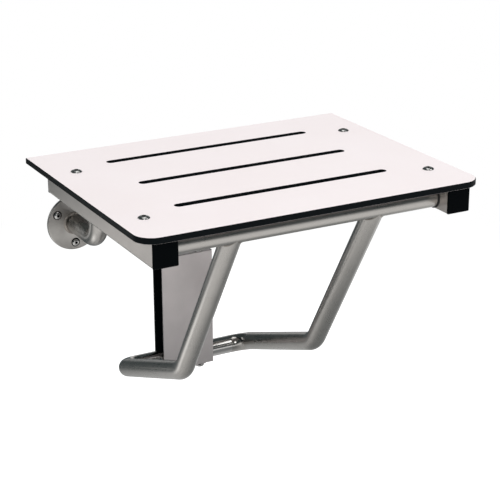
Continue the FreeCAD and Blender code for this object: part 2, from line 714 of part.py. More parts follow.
def build_arms():
    """Each arm leaves its flange, turns up to hinge height and turns out into the rail."""
    arm_x, hinge, low = -number(FLANGE_CENTRE), -number(HINGE_OUT), number(FLANGE_HEIGHT)
    foot = Vector(arm_x, 0, low)
    elbow = Vector(arm_x, hinge, low)
    shoulder = Vector(arm_x, hinge, pivot_height)
    tip = Vector(-number(TUBE_END), hinge, pivot_height)
    arm = bent_tube([foot, elbow, shoulder, tip], [size("arm_bend"), size("arm_bend")])
    shape_part("left_wall_arm", arm)
    shape_part("right_wall_arm", mirrored(arm))


def build_back_plate():
    """The plate on the wall, with tabs for the cover's screws: inside at the top, outside at the bottom."""
    half = "({bracket_width} / 2 - {plate_inset})"
    top = f"({INNER_HALF} - {{plate_inset}})"
    bottom = "-({bracket_length} / 2)"
    sheet_metal = box("plate_sheet", f"2 * {half}", "{plate_gauge}", f"{top} + {{bracket_length}} / 2",
                      f"-{half}", "-{plate_gauge}", bottom)
    tabs = []
    holes = []
    for end, level in (("top", f"{top} - {{plate_gauge}}"), ("bottom", f"{bottom} - {{plate_gauge}}")):
        for side in (-1, 1):
            name = f"{end}_{'left' if side < 0 else 'right'}"
            x = f"{side} * {COVER_SCREW_X}"
            depth = f"({BRACKET_DEPTH} - {{tab_short}})"
            tabs.append(box(f"tab_{name}", "{tab_width}", depth, "{plate_gauge}",
                            f"{x} - {{tab_width}} / 2", f"-{depth}", level))
            holes.append(rod(f"tab_hole_{name}", "{cover_screw_radius}", "{plate_gauge} + 2 * {cut_past}",
                             x, COVER_HOLE_Y, f"{level} - {{cut_past}}"))
    for side in (-1, 1):
        for end in (-1, 1):
            name = f"{'left' if side < 0 else 'right'}_{'low' if end < 0 else 'high'}"
            holes.append(cone(f"plate_hole_{name}", "{wall_screw_radius} + {plug_fit}",
                              "{flat_head_radius} + {plug_fit}", "{plate_gauge}",
                              f"{side} * {BRACKET_SCREW_X}", "0", f"{end} * {BRACKET_SCREW_Z}",
                              AWAY_FROM_WALL))
    finish(cut("BackPlate", joined("plate_blank", [sheet_metal] + tabs), holes), "guide_back_plate")


def build_bracket_screws():
    """The four flat-headed wall screws of the guide bracket."""
    screws = []
    for side in (-1, 1):
        for end in (-1, 1):
            name = f"bracket_{'left' if side < 0 else 'right'}_{'low' if end < 0 else 'high'}"
            screws.append(wall_screw(name, f"{side} * {BRACKET_SCREW_X}", f"{end} * {BRACKET_SCREW_Z}",
                                     "{plate_gauge}", flat=True))
    finish(joined("BracketScrews", screws), "guide_wall_screws")


def build_liner():
    """The black nylon liner: a back sheet and two cheeks, slotted for the sliding tube."""
    half = "({bracket_width} / 2 - {plate_inset})"
    tall = f"({INNER_HALF} - {{plate_inset}} - {{plate_gauge}} - {{plate_inset}})"
    back_y = "-({plate_gauge} + {liner_back})"
    back = box("liner_sheet", f"2 * {half}", "{liner_back}", f"2 * {tall}", f"-{half}", back_y, f"-{tall}")
    depth = f"({INNER_FRONT} - {{plate_inset}} - {{plate_gauge}})"
    cheeks = [
        box(f"cheek_{name}", "{liner_cheek}", depth, f"2 * {tall}",
            x, f"-{{plate_gauge}} - {depth}", f"-{tall}")
        for name, x in (("left", f"-{half}"), ("right", f"{half} - {{liner_cheek}}"))
    ]
    low = f"({GUIDE_REST} - {{tube_radius}} - {{slot_clear}})"
    high = f"({GUIDE_STOP} + {{slot_clear}})"
    slot = box("liner_slot", "{bracket_width}", "2 * {tube_radius} + 2 * {slot_clear}", f"{high} - {low}",
               "-{bracket_width} / 2", f"-({GUIDE_OUT} + {{tube_radius}} + {{slot_clear}})", low)
    window_half = "({spring_width} / 2 + {spring_window})"
    window_tall = "({spring_length} / 2 + {spring_window})"
    window = box("liner_window", f"2 * {window_half}", "{liner_back} + 2 * {cut_past}", f"2 * {window_tall}",
                 f"-{window_half}", "-({plate_gauge} + {liner_back} + {cut_past})", f"-{window_tall}")
    finish(cut("Liner", joined("liner_blank", [back] + cheeks), [slot, window]), "guide_liner")


def build_cover():
    """The stainless cover: a front plate folded back to the wall at its top and bottom."""
    body = new_body("guide_cover")
    outline = new_sketch(body, "CoverFront", "XZ_Plane", COVER_BACK)
    half, tall = "{bracket_width} / 2", "{bracket_length} / 2"
    draw_rectangle(outline, f"-{half}", half, f"-{tall}", tall)
    block = pad(body, outline, f"{BRACKET_DEPTH} - {COVER_BACK}")
    front_y = -number(BRACKET_DEPTH)
    folds = edges_where(block, lambda e: runs_along(e, X_AXIS) and abs(middle(e).y - front_y) < SAME)
    round_edges(body, block, folds, "{cover_round}", "Folds")
    inside = new_sketch(body, "CoverInside", "XZ_Plane", "0")
    draw_rectangle(inside, "-{bracket_width}", "{bracket_width}", f"-{INNER_HALF}", INNER_HALF)
    pocket(body, inside, "Channel", INNER_FRONT, reverse=True)
    holes = new_sketch(body, "CoverHoles", "XY_Plane")
    for x in (f"-{COVER_SCREW_X}", COVER_SCREW_X):
        draw_circle(holes, "{cover_screw_radius} + {screw_fit}", x, COVER_HOLE_Y)
    pocket(body, holes, "ScrewHoles")


def build_cover_screws():
    """Four small screws: two through the cover's top into its tabs, two through the lower tabs."""
    screws = []
    for side in (-1, 1):
        name = "left" if side < 0 else "right"
        x = f"{side} * {COVER_SCREW_X}"
        top = "{bracket_length} / 2"
        washer = rod(f"top_washer_{name}", "{cover_washer_radius}", "{cover_washer_thick}",
                     x, COVER_HOLE_Y, top)
        head = rod(f"top_head_{name}", "{cover_head_radius}", "{cover_head_height}",
                   x, COVER_HOLE_Y, top)
        shank = rod(f"top_shank_{name}", "{cover_screw_radius}", "{cover_screw_reach}", x, COVER_HOLE_Y,
                    f"{top} - {{cover_screw_reach}}")
        screws.append(joined(f"top_screw_{name}", [washer, head, shank]))
        seat = "(-({bracket_length} / 2) - {plate_gauge})"
        washer = rod(f"low_washer_{name}", "{cover_washer_radius}", "{cover_washer_thick}", x, COVER_HOLE_Y,
                     f"{seat} - {{cover_washer_thick}}")
        head = rod(f"low_head_{name}", "{cover_head_radius}", "{cover_head_height}", x, COVER_HOLE_Y,
                   f"{seat} - {{cover_head_height}}")
        shank = rod(f"low_shank_{name}", "{cover_screw_radius}",
                    "{plate_gauge} + {cover_gauge} - {plug_fit}", x, COVER_HOLE_Y, seat)
        screws.append(joined(f"low_screw_{name}", [washer, head, shank]))
    finish(joined("CoverScrews", screws), "cover_screws")


def build_spring():
    """The flat spring on the back plate, bowed towards the tube that it holds when the seat is up."""
    half, bow, gauge = size("spring_length") / 2, size("spring_bow"), size("spring_gauge")
    back = -size("plate_gauge")
    front = back - gauge
    outer = Part.Arc(Vector(0, front, -half), Vector(0, front - bow, 0), Vector(0, front, half)).toShape()
    inner = Part.Arc(Vector(0, back, half), Vector(0, back - bow, 0), Vector(0, back, -half)).toShape()
    top = Part.LineSegment(Vector(0, front, half), Vector(0, back, half)).toShape()
    bottom = Part.LineSegment(Vector(0, back, -half), Vector(0, front, -half)).toShape()
    strip = Part.Face(Part.Wire([outer, top, inner, bottom])).extrude(Vector(size("spring_width"), 0, 0))
    strip.translate(Vector(-size("spring_width") / 2, 0, 0))
    shape_part("retaining_spring", strip)


def build_all():
    """Builds every sub-part, seat first and wall fittings last."""
    build_panel()
    for side, name in ((-1, "left"), (1, "right")):
        build_rail(f"{name}_rail", side)
        build_cap(f"{name}_front_cap", side, True)
        build_cap(f"{name}_rear_cap", side, False)
    build_panel_screws()
    build_washers("cross_tube_washers", CROSS_OUT)
    build_washers("hinge_washers", HINGE_OUT)
    build_cross_tube()
    build_end_plugs("cross_tube_plugs", CROSS_OUT)
    build_end_plugs("hinge_plugs", HINGE_OUT)
    build_legs()
    build_guide_tube()
    for side, name in ((-1, "left"), (1, "right")):
        build_flange(f"{name}_wall_flange", side)
        build_flange_screws(f"{name}_flange_screws", side)
        build_flange_weld(f"{name}_flange_weld", side)
    build_arms()
    build_back_plate()
    build_bracket_screws()
    build_liner()
    build_cover()
    build_cover_screws()
    build_spring()


def check_and_export():
    """Stops on any failed object or empty shape, then writes one file for each sub-part."""
    doc.recompute()
    for obj in doc.Objects:
        if any(word in obj.State for word in ("Invalid", "Error")):
            raise RuntimeError(f"{obj.Name} failed: {obj.State}")
    os.makedirs("parts", exist_ok=True)
    for label, obj in parts.items():
        if obj.Shape.isNull() or not obj.Shape.isValid():
            raise RuntimeError(f"{label} has no valid shape")
        obj.Shape.exportStep(f"parts/{label}.step")
        bounds = obj.Shape.BoundBox
        print(f"{label:22s} solids {len(obj.Shape.Solids)}  volume {obj.Shape.Volume:9.0f}"
              f"  x {bounds.XMin:7.1f} {bounds.XMax:7.1f}  y {bounds.YMin:7.1f} {bounds.YMax:6.1f}"
              f"  z {bounds.ZMin:6.1f} {bounds.ZMax:6.1f}")


build_all()
check_and_export()
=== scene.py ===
"""The looks of a fold-down wall seat: white laminate panel, satin stainless frame, wall guide and flanges."""
import math

import bmesh
import bpy
from mathutils import Matrix, Vector


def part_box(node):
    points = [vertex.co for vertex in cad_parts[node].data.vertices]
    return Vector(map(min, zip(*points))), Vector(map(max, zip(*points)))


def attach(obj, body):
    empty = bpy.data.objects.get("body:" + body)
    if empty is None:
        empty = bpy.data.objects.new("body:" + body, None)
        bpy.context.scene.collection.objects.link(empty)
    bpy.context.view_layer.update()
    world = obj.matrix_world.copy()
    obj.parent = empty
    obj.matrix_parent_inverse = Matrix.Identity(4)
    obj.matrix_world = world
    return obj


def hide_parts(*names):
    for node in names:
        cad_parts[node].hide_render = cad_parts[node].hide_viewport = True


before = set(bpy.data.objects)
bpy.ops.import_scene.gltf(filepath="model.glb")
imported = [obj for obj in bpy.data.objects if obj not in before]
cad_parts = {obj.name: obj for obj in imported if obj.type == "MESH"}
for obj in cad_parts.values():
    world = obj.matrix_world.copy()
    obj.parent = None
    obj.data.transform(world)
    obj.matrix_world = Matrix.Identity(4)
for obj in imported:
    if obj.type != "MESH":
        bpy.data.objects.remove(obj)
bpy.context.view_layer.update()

# The camera.
# It stands in front of the seat, to the left and a little above, as in the photograph, with a long lens.
# Its place and its three turns are those that fit the seat's edges best.
MM = 0.001
IMAGE_SIDE_PX = 500
SENSOR_MM = 36.0
FOCAL_PX = 1514.0
VIEW_AZIMUTH = math.radians(-28.19)
VIEW_ELEVATION = math.radians(20.17)
VIEW_ROLL = math.radians(-0.23)
CAMERA_PLACE = Vector((-859.9, -1822.7, 820.9)) * MM

camera_data = bpy.data.cameras.new("camera")
camera_data.sensor_width = SENSOR_MM
camera_data.lens = SENSOR_MM * FOCAL_PX / IMAGE_SIDE_PX
camera = bpy.data.objects.new("camera", camera_data)
bpy.context.scene.collection.objects.link(camera)
turn = Matrix.Rotation(VIEW_AZIMUTH, 4, "Z") @ Matrix.Rotation(math.pi / 2 - VIEW_ELEVATION, 4, "X")
camera.matrix_world = Matrix.Translation(CAMERA_PLACE) @ turn @ Matrix.Rotation(VIEW_ROLL, 4, "Z")
bpy.context.scene.camera = camera
bpy.context.scene.view_settings.view_transform = "Standard"

# The surround.
# A white room that lights the seat evenly from all sides. The steel mirrors it as a dark grey room with
# one white backdrop, which stands low behind the seat as the camera looks at it.
SURROUND_LIGHT = 0.61
DARK_ROOM = "4D5658"
WHITE = (1, 1, 1, 1)
BACKDROP_WAY = Vector((-math.sin(VIEW_AZIMUTH), math.cos(VIEW_AZIMUTH), 0))
BACKDROP_SIDES_COSINE = 0.88
BACKDROP_MIDDLE_COSINE = 0.99
BACKDROP_TOP_SINE = 0.75
BACKDROP_FOOT_SINE = 0.15
SMOOTH = {"interpolation_type": "SMOOTHSTEP"}


def linear(hex_colour):
    """An sRGB hex colour as the linear colour that a shader takes."""
    channels = [int(hex_colour[i:i + 2], 16) / 255 for i in (0, 2, 4)]
    return tuple(c / 12.92 if c <= 0.04045 else ((c + 0.055) / 1.055) ** 2.4 for c in channels) + (1.0,)


def add(tree, kind, settings=None, **inputs):
    """Adds a node, sets its properties, and fills or links its inputs by name or number."""
    new = tree.nodes.new(kind)
    for name, value in (settings or {}).items():
        setattr(new, name, value)
    for name, value in inputs.items():
        socket = new.inputs[int(name[1:])] if name[1:].isdigit() else new.inputs[name.replace("_", " ")]
        if isinstance(value, bpy.types.NodeSocket):
            tree.links.new(value, socket)
        else:
            socket.default_value = value
    return new


world = bpy.data.worlds.new("studio")
bpy.context.scene.world = world
world.use_nodes = True
tree = world.node_tree
tree.nodes.clear()
direction = add(tree, "ShaderNodeTexCoord").outputs["Generated"]
ahead = add(tree, "ShaderNodeVectorMath", {"operation": "DOT_PRODUCT"}, _0=direction, _1=BACKDROP_WAY)
height = add(tree, "ShaderNodeSeparateXYZ", Vector=direction).outputs["Z"]
sideways = add(tree, "ShaderNodeMapRange", SMOOTH, Value=ahead.outputs["Value"],
               From_Min=BACKDROP_SIDES_COSINE, From_Max=BACKDROP_MIDDLE_COSINE)
low = add(tree, "ShaderNodeMapRange", SMOOTH, Value=height, From_Min=BACKDROP_TOP_SINE,
          From_Max=BACKDROP_FOOT_SINE)
backdrop_share = add(tree, "ShaderNodeMath", {"operation": "MULTIPLY"}, _0=sideways.outputs[0],
                     _1=low.outputs[0])
mirrored_room = add(tree, "ShaderNodeMix", {"data_type": "RGBA"}, _0=backdrop_share.outputs[0],
                    _6=linear(DARK_ROOM), _7=WHITE)
ray = add(tree, "ShaderNodeLightPath")
seen = add(tree, "ShaderNodeMath", {"operation": "MAXIMUM"}, _0=ray.outputs["Is Camera Ray"],
           _1=ray.outputs["Is Transmission Ray"])
backdrop = add(tree, "ShaderNodeBackground", Color=WHITE, Strength=1.0)
reflected = add(tree, "ShaderNodeBackground", Color=mirrored_room.outputs[2], Strength=1.0)
lighting = add(tree, "ShaderNodeBackground", Color=WHITE, Strength=SURROUND_LIGHT)
shown = add(tree, "ShaderNodeMixShader", _0=ray.outputs["Is Glossy Ray"], _1=lighting.outputs[0],
            _2=reflected.outputs[0])
shown = add(tree, "ShaderNodeMixShader", _0=seen.outputs[0], _1=shown.outputs[0], _2=backdrop.outputs[0])
add(tree, "ShaderNodeOutputWorld", Surface=shown.outputs[0])

# The lamps.
# Four square soft boxes that all look at the middle of the seat: the key from the front left, a fill from
# the front right, a weak one from behind on the left, and a wide one overhead. Each has its side and watts.
LAMPS = (("lamp_key", (-0.9, -2.6, 1.5), 0.9, 16),
         ("lamp_fill", (1.23, -1.3, 1.87), 0.85, 8),
         ("lamp_side", (-1.05, 0.75, 0.38), 0.6, 2),
         ("lamp_top", (0.2, -0.1, 2.8), 1.6, 20))
LAMP_AIM = Vector((0, -0.2, 0.1))
for name, place, side, watts in LAMPS:
    data = bpy.data.lights.new(name, "AREA")
    data.size = side
    data.energy = watts
    lamp = bpy.data.objects.new(name, data)
    bpy.context.scene.collection.objects.link(lamp)
    lamp.location = place
    lamp.visible_camera = False
    lamp.rotation_euler = (LAMP_AIM - Vector(place)).to_track_quat("-Z", "Y").to_euler()

# The floor.
# A pale round sheet, as far under the seat as a real floor is, that runs out to white. What the steel mirrors
# of it is painted: pale in front, painted shade behind, far off and under the seat, a painted white patch of
# light at the back left and a glowing painted highlight patch by the left leg.
FLOOR_BELOW_SEAT = 457 * MM
SEAT_TOP = 261 * MM
FLOOR_Z = SEAT_TOP - FLOOR_BELOW_SEAT
FLOOR_RADIUS = 6.0
FLOOR_SIDES = 96
FLOOR_MIDDLE = (0, -0.2, FLOOR_Z)
WHITE_FROM = 0.5
WHITE_TO = 1.2
SEEN_LIFT = 0.5
# Painted shade and painted light on the floor, which only the steel's reflections show.
BEHIND_FROM = -0.35
BEHIND_TO = 0.45
SHADE_SQUEEZE = (0.67, 1, 1)
SHADE_CENTRE = (0.12, -0.24, FLOOR_Z)
SHADE_CORE = 0.08
SHADE_REACH = 0.35
SHADE_GLOOM = 0.75
FAR_FROM = 1.2
FAR_TO = 2.4
FAR_GLOOM = 0.45
# A painted white patch of light at the back left, where the painted shade is lifted.
PAINTED_LIGHT_CENTRE = (-0.8, 0.74, FLOOR_Z)
PAINTED_LIGHT_CORE = 0.15
PAINTED_LIGHT_REACH = 0.4
# A painted highlight: a patch by the left leg that glows, over the mirrored floor's even glow.
GLINT_CENTRE = (-0.4, 0.0, FLOOR_Z)
GLINT_CORE = 0.03
GLINT_REACH = 0.19
GLINT_LIFT = 2.8
MIRRORED_LIFT = 0.4
PALE = "F4F4F4"
MATT_GREY = "8C8C8C"
GLOOM_GREY = "60686A"


def blank_material(name):
    """A material with no nodes yet, and its node tree."""
    material = bpy.data.materials.new(name)
    material.use_nodes = True
    material.node_tree.nodes.clear()
    return material, material.node_tree


floor_mesh = bpy.data.meshes.new("floor")
bm = bmesh.new()
bmesh.ops.create_circle(bm, cap_ends=True, segments=FLOOR_SIDES, radius=FLOOR_RADIUS,
                        matrix=Matrix.Translation((0, 0, FLOOR_Z)))
bm.to_mesh(floor_mesh)
bm.free()
floor = bpy.data.objects.new("floor", floor_mesh)
bpy.context.scene.collection.objects.link(floor)
material, tree = blank_material("pale_floor")
ray = add(tree, "ShaderNodeLightPath")
spot = add(tree, "ShaderNodeTexCoord").outputs["Object"]
away = add(tree, "ShaderNodeVectorMath", {"operation": "DISTANCE"}, _0=spot, _1=FLOOR_MIDDLE).outputs["Value"]
matt = add(tree, "ShaderNodeBsdfDiffuse", Color=linear(MATT_GREY))
pale = add(tree, "ShaderNodeBsdfDiffuse", Color=linear(PALE))
lift = add(tree, "ShaderNodeEmission", Color=WHITE, Strength=SEEN_LIFT)
near = add(tree, "ShaderNodeAddShader", _0=pale.outputs[0], _1=lift.outputs[0])
white = add(tree, "ShaderNodeEmission", Color=WHITE, Strength=1.0)
outer = add(tree, "ShaderNodeMapRange", SMOOTH, Value=away, From_Min=WHITE_FROM, From_Max=WHITE_TO)
seen = add(tree, "ShaderNodeMixShader", _0=outer.outputs[0], _1=near.outputs[0], _2=white.outputs[0])
# Painted shade for the mirrors: the floor darkens behind the seat, far off, and in a squeezed patch under the
# seat.
behind = add(tree, "ShaderNodeMapRange", SMOOTH, From_Min=BEHIND_FROM, From_Max=BEHIND_TO,
             Value=add(tree, "ShaderNodeSeparateXYZ", Vector=spot).outputs["Y"])
narrowed = add(tree, "ShaderNodeVectorMath", {"operation": "MULTIPLY"}, _0=spot, _1=SHADE_SQUEEZE)
from_shade = add(tree, "ShaderNodeVectorMath", {"operation": "DISTANCE"}, _0=narrowed.outputs[0], _1=SHADE_CENTRE)
shade = add(tree, "ShaderNodeMapRange", SMOOTH, Value=from_shade.outputs["Value"], From_Min=SHADE_REACH,
            From_Max=SHADE_CORE, To_Max=SHADE_GLOOM)
afar = add(tree, "ShaderNodeMapRange", SMOOTH, Value=away, From_Min=FAR_FROM, From_Max=FAR_TO,
           To_Max=FAR_GLOOM)
dim = add(tree, "ShaderNodeMath", {"operation": "MAXIMUM"}, _0=behind.outputs[0], _1=shade.outputs[0])
dim = add(tree, "ShaderNodeMath", {"operation": "MAXIMUM"}, _0=dim.outputs[0], _1=afar.outputs[0])
# The painted patch of light: the painted shade is taken off round it, so the steel mirrors the floor pale there.
from_painted_light = add(tree, "ShaderNodeVectorMath", {"operation": "DISTANCE"}, _0=spot, _1=PAINTED_LIGHT_CENTRE)
off_painted_light = add(tree, "ShaderNodeMapRange", SMOOTH, Value=from_painted_light.outputs["Value"], From_Min=PAINTED_LIGHT_CORE,
               From_Max=PAINTED_LIGHT_REACH)
gloomy = add(tree, "ShaderNodeMath", {"operation": "MINIMUM"}, _0=dim.outputs[0], _1=off_painted_light.outputs[0])
gloom = add(tree, "ShaderNodeEmission", Color=linear(GLOOM_GREY), Strength=1.0)
# The painted highlight patch glows for the mirrors, though it is no lamp, and puts a bright streak on the left
# leg.
from_glint = add(tree, "ShaderNodeVectorMath", {"operation": "DISTANCE"}, _0=spot, _1=GLINT_CENTRE)
glint = add(tree, "ShaderNodeMapRange", SMOOTH, Value=from_glint.outputs["Value"], From_Min=GLINT_REACH,
            From_Max=GLINT_CORE, To_Min=MIRRORED_LIFT, To_Max=GLINT_LIFT)
glow = add(tree, "ShaderNodeEmission", Color=WHITE, Strength=glint.outputs[0])
lit = add(tree, "ShaderNodeAddShader", _0=pale.outputs[0], _1=glow.outputs[0])
mirrored = add(tree, "ShaderNodeMixShader", _0=gloomy.outputs[0], _1=lit.outputs[0], _2=gloom.outputs[0])
shown = add(tree, "ShaderNodeMixShader", _0=ray.outputs["Is Glossy Ray"], _1=matt.outputs[0],
            _2=mirrored.outputs[0])
direct = add(tree, "ShaderNodeMath", {"operation": "MAXIMUM"}, _0=ray.outputs["Is Camera Ray"],
             _1=ray.outputs["Is Transmission Ray"])
shown = add(tree, "ShaderNodeMixShader", _0=direct.outputs[0], _1=shown.outputs[0], _2=seen.outputs[0])
add(tree, "ShaderNodeOutputMaterial", Surface=shown.outputs[0])
floor_mesh.materials.append(material)

# The seat panel.
# A sheet of solid laminate: white decor on both faces over a black core of pressed paper and resin,
# cut to size, with its edges broken by a small bevel and its drainage slots routed through.
PANEL_LOW, PANEL_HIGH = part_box("seat_panel")
DECOR_DEPTH = 0.2 * MM
DECOR_CLOUD = 111 * MM
DECOR_GRAIN = 0.7 * MM
DECOR_WARM = "EFE6E6"
DECOR_PALE = "F4EDEE"
CORE_BLACK = "060C0F"


def paint(node, material):
    """Gives a CAD node one material in all its slots."""
    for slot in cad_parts[node].material_slots:
        slot.material = material


def white_laminate():
    """Solid laminate: satin decor with a faint grain, and a matt black core wherever it is cut.

    The press plate's real grain is nearer 0.1 mm. It is drawn coarser, to show.
    """
    material, tree = blank_material("white_laminate")
    place = add(tree, "ShaderNodeTexCoord").outputs["Object"]
    height = add(tree, "ShaderNodeSeparateXYZ", Vector=place).outputs["Z"]
    above = add(tree, "ShaderNodeMath", {"operation": "GREATER_THAN"}, _0=height, _1=PANEL_HIGH.z - DECOR_DEPTH)
    below = add(tree, "ShaderNodeMath", {"operation": "LESS_THAN"}, _0=height, _1=PANEL_LOW.z + DECOR_DEPTH)
    decor = add(tree, "ShaderNodeMath", {"operation": "MAXIMUM"}, _0=above.outputs[0], _1=below.outputs[0])
    cloud = add(tree, "ShaderNodeTexNoise", Vector=place, Scale=1 / DECOR_CLOUD, Detail=3.0)
    tint = add(tree, "ShaderNodeMix", {"data_type": "RGBA"}, _0=cloud.outputs["Fac"], _6=linear(DECOR_WARM),
               _7=linear(DECOR_PALE))
    colour = add(tree, "ShaderNodeMix", {"data_type": "RGBA"}, _0=decor.outputs[0], _6=linear(CORE_BLACK),
                 _7=tint.outputs[2])
    grain = add(tree, "ShaderNodeTexNoise", Vector=place, Scale=1 / DECOR_GRAIN, Detail=2.0)
    relief = add(tree, "ShaderNodeBump", Strength=0.08, Distance=0.1 * MM, Height=grain.outputs["Fac"])
    shader = add(tree, "ShaderNodeBsdfPrincipled", Base_Color=colour.outputs[2], Roughness=0.42,
                 Specular_IOR_Level=0.06, Normal=relief.outputs[0])
    add(tree, "ShaderNodeOutputMaterial", Surface=shader.outputs[0])
    return material


paint("seat_panel", white_laminate())

# The rails.
# Two lengths of square stainless tube under the panel, 31.75 mm a side, finished with a satin belt
# along their length, so their faces carry fine scratches that run front to back.
SCRATCH_LENGTHS = 60
RUBBED_CLOUD = 36 * MM


def satin_steel(name, colour, roughness, along, streak_mm=0.7, depth=0.25, dullest=0.93):
    """Stainless steel rubbed one way: fine scratches run along an axis and soften its reflections.

    Real belt scratches are under 0.1 mm wide, and are drawn wider, to show. Cloudy patches some
    centimetres wide darken the steel down to the dullest share of its colour.
    """
    material, tree = blank_material(name)
    place = add(tree, "ShaderNodeTexCoord").outputs["Object"]
    across = 1 / (streak_mm * MM)
    scale = [across, across, across]
    scale["XYZ".index(along)] = across / SCRATCH_LENGTHS
    stretched = add(tree, "ShaderNodeMapping", Vector=place, Scale=scale)
    scratch = add(tree, "ShaderNodeTexNoise", Vector=stretched.outputs[0], Scale=1.0, Detail=3.0)
    cloud = add(tree, "ShaderNodeTexNoise", Vector=place, Scale=1 / RUBBED_CLOUD, Detail=3.0)
    patch = add(tree, "ShaderNodeMapRange", Value=cloud.outputs["Fac"], From_Min=0.35, From_Max=0.65)
    rough = add(tree, "ShaderNodeMapRange", Value=scratch.outputs["Fac"], To_Min=roughness - 0.07,
                To_Max=roughness + 0.09)
    dark = [c * dullest for c in linear(colour)[:3]] + [1]
    tint = add(tree, "ShaderNodeMix", {"data_type": "RGBA"}, _0=patch.outputs[0], _6=dark, _7=linear(colour))
    relief = add(tree, "ShaderNodeBump", Strength=depth, Distance=0.02 * MM, Height=scratch.outputs["Fac"])
    shader = add(tree, "ShaderNodeBsdfPrincipled", Base_Color=tint.outputs[2], Metallic=1.0,
                 Roughness=rough.outputs[0], Normal=relief.outputs[0])
    add(tree, "ShaderNodeOutputMaterial", Surface=shader.outputs[0])
    return material


rail_steel = satin_steel("rail_steel", "C3BDB8", 0.32, "Y")
for node in ("left_rail", "right_rail"):
    paint(node, rail_steel)

# The caps, plugs, washers and liner.
# Injection mouldings with a fine spark texture: push-in caps and plugs of black polyethylene in the ends
# of the rails and tubes, the guide's black nylon liner, and grey nylon washers at the two pivots.
SPARK_GRAIN = 0.4 * MM


def moulded_plastic(name, colour, roughness):
    """Moulded plastic: a low sheen broken up by a spark-eroded texture, drawn coarser than the real one."""
    material, tree = blank_material(name)
    place = add(tree, "ShaderNodeTexCoord").outputs["Object"]
    spark = add(tree, "ShaderNodeTexNoise", Vector=place, Scale=1 / SPARK_GRAIN, Detail=2.0)
    relief = add(tree, "ShaderNodeBump", Strength=0.3, Distance=0.05 * MM, Height=spark.outputs["Fac"])
    shader = add(tree, "ShaderNodeBsdfPrincipled", Base_Color=linear(colour), Roughness=roughness,
                 Specular_IOR_Level=0.02, Normal=relief.outputs[0])
    add(tree, "ShaderNodeOutputMaterial", Surface=shader.outputs[0])
    return material


cap_black = moulded_plastic("cap_black", "05080A", 0.5)
for node in ("left_front_cap", "right_front_cap", "left_rear_cap", "right_rear_cap", "cross_tube_plugs",
             "hinge_plugs"):
    paint(node, cap_black)
paint("guide_liner", moulded_plastic("nylon_black", "0B1114", 0.5))
washer_grey = moulded_plastic("washer_grey", "4A4B4A", 0.5)
for node in ("cross_tube_washers", "hinge_washers"):
    paint(node, washer_grey)

# The cross tube.
# It turns in both rails and carries the legs. Like all the seat's round tube it is stainless, 25.4 mm
# across with a 1.5 mm wall, and satin finished. Bent tube is built as it is made: drawn, then spun round.
TUBE_RADIUS = 12.7 * MM
TUBE_WALL = 1.5 * MM
TUBE_SIDES = 64
BEND_STEPS = 20
NO_RUN = 0.01 * MM
SCRATCH_WIDTH = 0.62 * MM
SCRATCH_RUN = 38 * MM
SCRATCH_BITE = 0.15
HAND_CLOUD = 26 * MM
DULL_SHARE = 0.86
POLISH_OVER = 5 * MM
POLISHED_BITE = 0.05
POLISHED_ROUGHNESS = 0.6


def bent_tube(name, points, bends):
    """A hollow tube through the points, with one bend radius for each inner point.

    Each vertex keeps the place that it had on the straight tube, for the marks that run along it.
    """
    bm = bmesh.new()
    straight = bm.verts.layers.float_vector.new("straight")
    way = (points[1] - points[0]).normalized()
    stand = Matrix.Translation(points[0]) @ way.to_track_quat("Z", "Y").to_matrix().to_4x4()
    ring = bmesh.ops.create_circle(bm, cap_ends=False, segments=TUBE_SIDES, radius=TUBE_RADIUS)["verts"]
    for vert in ring:
        vert[straight] = vert.co
        vert.co = stand @ vert.co
    edges = list({edge for vert in ring for edge in vert.link_edges})
    place = points[0]
    for before, corner, after, radius in zip(points, points[1:], points[2:], bends):
        into = (corner - before).normalized()
        out = (after - corner).normalized()
        turn = into.angle(out)
        reach = radius * math.tan(turn / 2)
        bend_start = corner - into * reach
        edges = draw_on(bm, edges, bend_start - place, straight)
        axis = into.cross(out).normalized()
        centre = bend_start + axis.cross(into) * radius
        for _ in range(BEND_STEPS):
            spun = bmesh.ops.spin(bm, geom=edges, cent=centre, axis=axis, angle=turn / BEND_STEPS, steps=1,
                                  use_duplicate=False)["geom_last"]
            edges = further(spun, straight, radius * turn / BEND_STEPS)
        place = corner + out * reach
    if (points[-1] - place).length > NO_RUN:
        draw_on(bm, edges, points[-1] - place, straight)
    bmesh.ops.recalc_face_normals(bm, faces=bm.faces)
    bmesh.ops.solidify(bm, geom=bm.faces[:], thickness=TUBE_WALL)
    return finished(name, bm)


def only(kind, drawn):
    """The vertices, edges or faces among what an operator has just drawn."""
    return [item for item in drawn if isinstance(item, kind)]


def open_edges(drawn):
    """The edges at the open end of what an operator has just drawn."""
    return [edge for edge in only(bmesh.types.BMEdge, drawn) if edge.is_boundary]


def draw_on(bm, edges, step, straight):
    """Draws a ring of edges out along a straight run."""
    drawn = bmesh.ops.extrude_edge_only(bm, edges=edges)["geom"]
    bmesh.ops.translate(bm, vec=step, verts=only(bmesh.types.BMVert, drawn))
    return further(drawn, straight, step.length)


def further(drawn, straight, length):
    """Moves the straight places of a new ring on by a length, and gives the ring's edges."""
    for vert in only(bmesh.types.BMVert, drawn):
        vert[straight] = vert[straight] + Vector((0, 0, length))
    return open_edges(drawn)


def finished(name, bm, smooth_degrees=40):
    """Turns a bmesh into an object, smooth where its faces meet gently."""
    mesh = bpy.data.meshes.new(name)
    bm.to_mesh(mesh)
    bm.free()
    mesh.shade_smooth()
    mesh.set_sharp_from_angle(angle=math.radians(smooth_degrees))
    piece = bpy.data.objects.new(name, mesh)
    bpy.context.scene.collection.objects.link(piece)
    return piece


def dress(piece, body, material, node):
    """Gives a piece its material, its body and the CAD node it stands for."""
    piece.data.materials.append(material)
    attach(piece, body)
    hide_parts(node)
    return piece


